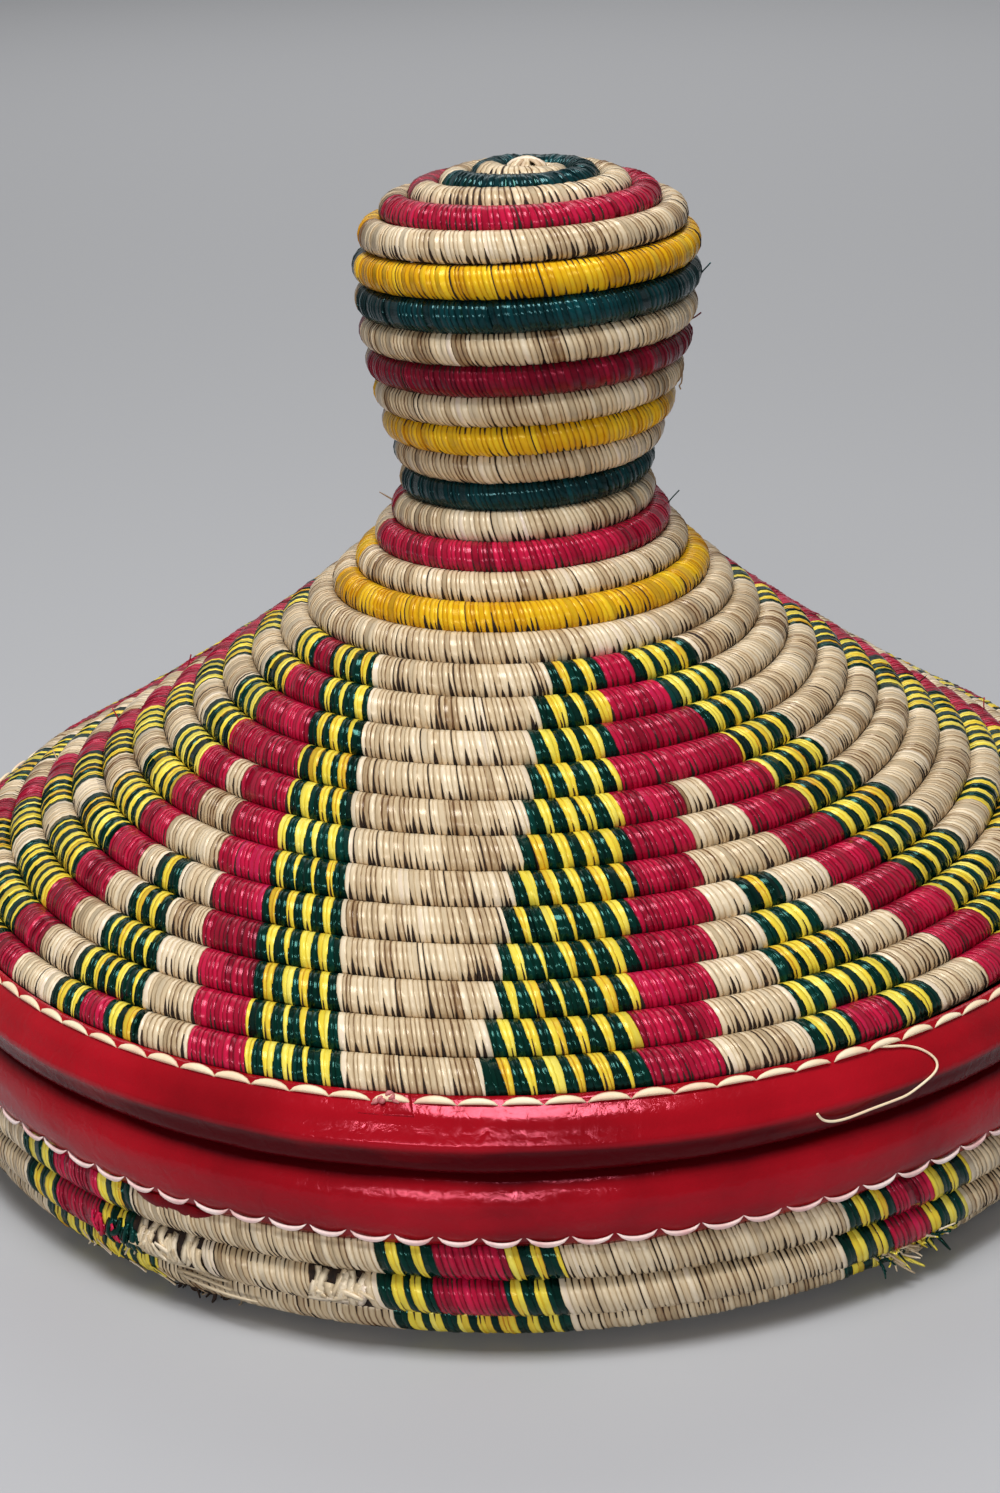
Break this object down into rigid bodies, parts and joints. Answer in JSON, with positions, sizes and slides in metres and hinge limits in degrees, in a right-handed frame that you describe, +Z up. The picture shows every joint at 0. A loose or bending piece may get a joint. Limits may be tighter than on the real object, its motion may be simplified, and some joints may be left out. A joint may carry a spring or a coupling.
{
  "type": "mesob",
  "caption": "Round coiled-grass food basket with a low tray and a tall lid whose bulb-shaped hollow knob flows into a wide cone; both rims are bound in laced red leather.",
  "frame": {"origin": "middle of the underside of the base, on the surface that it stands on", "axes": "+Z up through the knob; -Y is the side that the picture shows, +X its right"},
  "size_m": [0.3264, 0.3264, 0.2431],
  "materials": {
    "grass": "bundles of grass wrapped in flat stitches, natural with dyed teal, crimson, yellow and green bands, satin sheen",
    "red_leather": "soft dyed goatskin, satin, lightly wrinkled",
    "cream_thread": "flat waxed thread, matt"
  },
  "bodies": {
    "base": {"base_floor": "grass", "base_wall_coil": "grass", "base_rim_core": "grass", "base_rim_leather": "red_leather", "base_rim_lacing": "cream_thread", "base_lacing_knot": "cream_thread"},
    "lid": {"lid_coil_start": "grass", "lid_knob_coil": "grass", "lid_neck_coil": "grass", "lid_cone_coil": "grass", "lid_rim_core": "grass", "lid_rim_leather": "red_leather", "lid_rim_lacing": "cream_thread", "lid_lacing_knot": "cream_thread", "lid_lacing_strand": "cream_thread"}
  },
  "joints": [
    {"name": "lid_lift", "type": "slide", "parent": "base", "child": "lid", "axis": [0, 0, 1], "range_m": [0, 0.25]}
  ]
}
